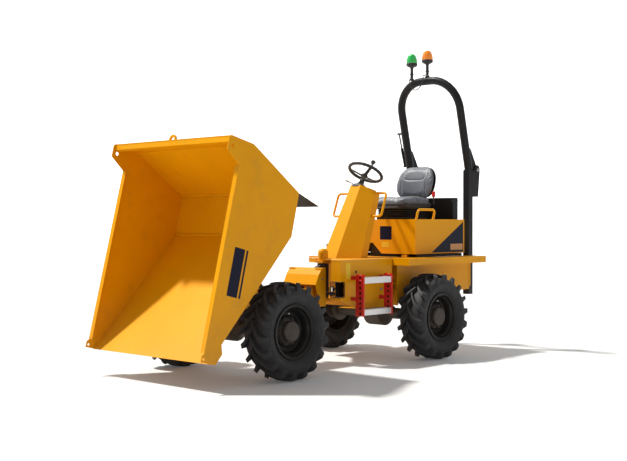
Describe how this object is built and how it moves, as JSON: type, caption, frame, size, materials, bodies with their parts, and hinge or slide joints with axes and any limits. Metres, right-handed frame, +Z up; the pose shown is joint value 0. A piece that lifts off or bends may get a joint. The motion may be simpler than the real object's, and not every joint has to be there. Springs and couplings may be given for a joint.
{
  "type": "site dumper",
  "caption": "Small articulated site dumper with a front tipping skip, open driver's seat, folding roll-over hoop and lugged tyres, stored with the skip tipped forward.",
  "frame": {"origin": "middle of the bounding box, on the ground under the wheels", "axes": "-Y is the way the machine drives, +X is its left side, +Z is up"},
  "size_m": [1.539, 3.9021, 2.926],
  "materials": {
    "yellow_paint": "semi-gloss golden yellow paint on steel",
    "black_paint": "satin black paint on steel",
    "red_paint": "red paint on perforated steel",
    "tyre_rubber": "dusty black rubber",
    "black_plastic": "matt black plastic",
    "seat_vinyl": "grey-black grained vinyl over foam",
    "cast_metal": "dark cast iron",
    "rod_chrome": "hard chromed rod",
    "tread_plate": "bare pressed tread",
    "green_lens": "clear green plastic lens on a black foot",
    "amber_lens": "clear amber plastic lens on a black foot"
  },
  "bodies": {
    "rear_chassis": {"rear_frame": "yellow_paint", "floor_plate": "yellow_paint", "side_box_left": "yellow_paint", "tank_right": "yellow_paint", "running_board_left": "yellow_paint", "running_board_right": "yellow_paint", "engine_block": "cast_metal", "step_rail_front": "red_paint", "step_rail_rear": "red_paint", "step_tread_upper": "tread_plate", "step_tread_lower": "tread_plate", "steering_console": "yellow_paint", "console_handle_left": "yellow_paint", "console_handle_right": "yellow_paint", "dash_panel": "black_plastic", "hoop_post_left": "black_paint", "hoop_post_right": "black_paint", "rear_axle": "cast_metal"},
    "cover": {"engine_cover": "yellow_paint", "cover_handle_left": "yellow_paint", "cover_handle_right": "yellow_paint", "rear_locker": "black_paint", "seat_base": "black_plastic", "seat_cushion": "seat_vinyl", "seat_back": "seat_vinyl"},
    "hoop": {"rops_hoop": "black_paint", "beacon_green": "green_lens", "beacon_amber": "amber_lens"},
    "hand_wheel": {"steering_wheel": "black_plastic"},
    "pivot": {"centre_pivot": "yellow_paint"},
    "steering_barrel": {"steering_ram_barrel": "black_paint"},
    "steering_rod": {"steering_ram_rod": "rod_chrome"},
    "front_chassis": {"front_frame": "yellow_paint", "tower_cover": "yellow_paint", "front_axle": "cast_metal"},
    "skip": {"skip_floor": "yellow_paint", "skip_side_left": "yellow_paint", "skip_side_right": "yellow_paint", "skip_top_beam": "yellow_paint", "lifting_eye": "yellow_paint", "skip_guard": "black_paint"},
    "tipping_barrel": {"tipping_ram_barrel": "black_paint"},
    "tipping_rod": {"tipping_ram_rod": "rod_chrome"},
    "wheel_front_left": {"rim_front_left": "black_paint", "tyre_front_left": "tyre_rubber"},
    "wheel_front_right": {"rim_front_right": "black_paint", "tyre_front_right": "tyre_rubber"},
    "wheel_rear_left": {"rim_rear_left": "black_paint", "tyre_rear_left": "tyre_rubber"},
    "wheel_rear_right": {"rim_rear_right": "black_paint", "tyre_rear_right": "tyre_rubber"}
  },
  "joints": [
    {"name": "articulation", "type": "hinge", "parent": "rear_chassis", "child": "pivot", "pos_m": [0, 0.08875, 0.71], "axis": [0, 0, 1], "range_deg": [-30, 30]},
    {"name": "axle_oscillation", "type": "hinge", "parent": "pivot", "child": "front_chassis", "pos_m": [0, -0.13125, 0.64], "axis": [0, 1, 0], "range_deg": [-8, 8]},
    {"name": "skip_tip", "type": "hinge", "parent": "front_chassis", "child": "skip", "pos_m": [0, -0.94125, 0.755], "axis": [1, 0, 0], "range_deg": [-76, 0]},
    {"name": "tipping_ram_swing", "type": "hinge", "parent": "front_chassis", "child": "tipping_barrel", "pos_m": [0, -0.37125, 0.4], "axis": [1, 0, 0], "range_deg": [-18, 2]},
    {"name": "tipping_ram_stroke", "type": "slide", "parent": "tipping_barrel", "child": "tipping_rod", "axis": [0, -0.7583, 0.6519], "range_m": [-0.27, 0.002]},
    {"name": "steering_ram_swing", "type": "hinge", "parent": "rear_chassis", "child": "steering_barrel", "pos_m": [0.355, 0.56875, 0.648], "axis": [0, 0, 1], "range_deg": [-8, 8]},
    {"name": "steering_ram_stroke", "type": "slide", "parent": "steering_barrel", "child": "steering_rod", "axis": [-0.1619, -0.9868, 0], "range_m": [-0.16, 0.16]},
    {"name": "hand_wheel_turn", "type": "hinge", "parent": "rear_chassis", "child": "hand_wheel", "pos_m": [0, 0.64475, 1.648], "axis": [0, 0.515, 0.8572], "range_deg": [-720, 720]},
    {"name": "cover_lift", "type": "hinge", "parent": "rear_chassis", "child": "cover", "pos_m": [0, 0.87875, 0.935], "axis": [1, 0, 0], "range_deg": [0, 30]},
    {"name": "hoop_fold", "type": "hinge", "parent": "rear_chassis", "child": "hoop", "pos_m": [0, 1.90375, 1.745], "axis": [-1, 0, 0], "range_deg": [0, 110]},
    {"name": "front_left_roll", "type": "hinge", "parent": "front_chassis", "child": "wheel_front_left", "pos_m": [0.639, -1.03125, 0.3825], "axis": [1, 0, 0], "continuous": true},
    {"name": "rear_left_roll", "type": "hinge", "parent": "rear_chassis", "child": "wheel_rear_left", "pos_m": [0.639, 0.85775, 0.3825], "axis": [1, 0, 0], "continuous": true},
    {"name": "front_right_roll", "type": "hinge", "parent": "front_chassis", "child": "wheel_front_right", "pos_m": [-0.639, -1.03125, 0.3825], "axis": [1, 0, 0], "continuous": true},
    {"name": "rear_right_roll", "type": "hinge", "parent": "rear_chassis", "child": "wheel_rear_right", "pos_m": [-0.639, 0.85775, 0.3825], "axis": [1, 0, 0], "continuous": true}
  ],
  "couplings": [
    {"joint": "tipping_ram_swing", "follows": "skip_tip", "ratio": 0.19234},
    {"joint": "tipping_ram_stroke", "follows": "skip_tip", "m_per_rad": 0.17231},
    {"joint": "steering_ram_swing", "follows": "articulation", "ratio": 0.16833},
    {"joint": "steering_ram_stroke", "follows": "articulation", "m_per_rad": -0.26821},
    {"joint": "hand_wheel_turn", "follows": "articulation", "ratio": 24}
  ]
}
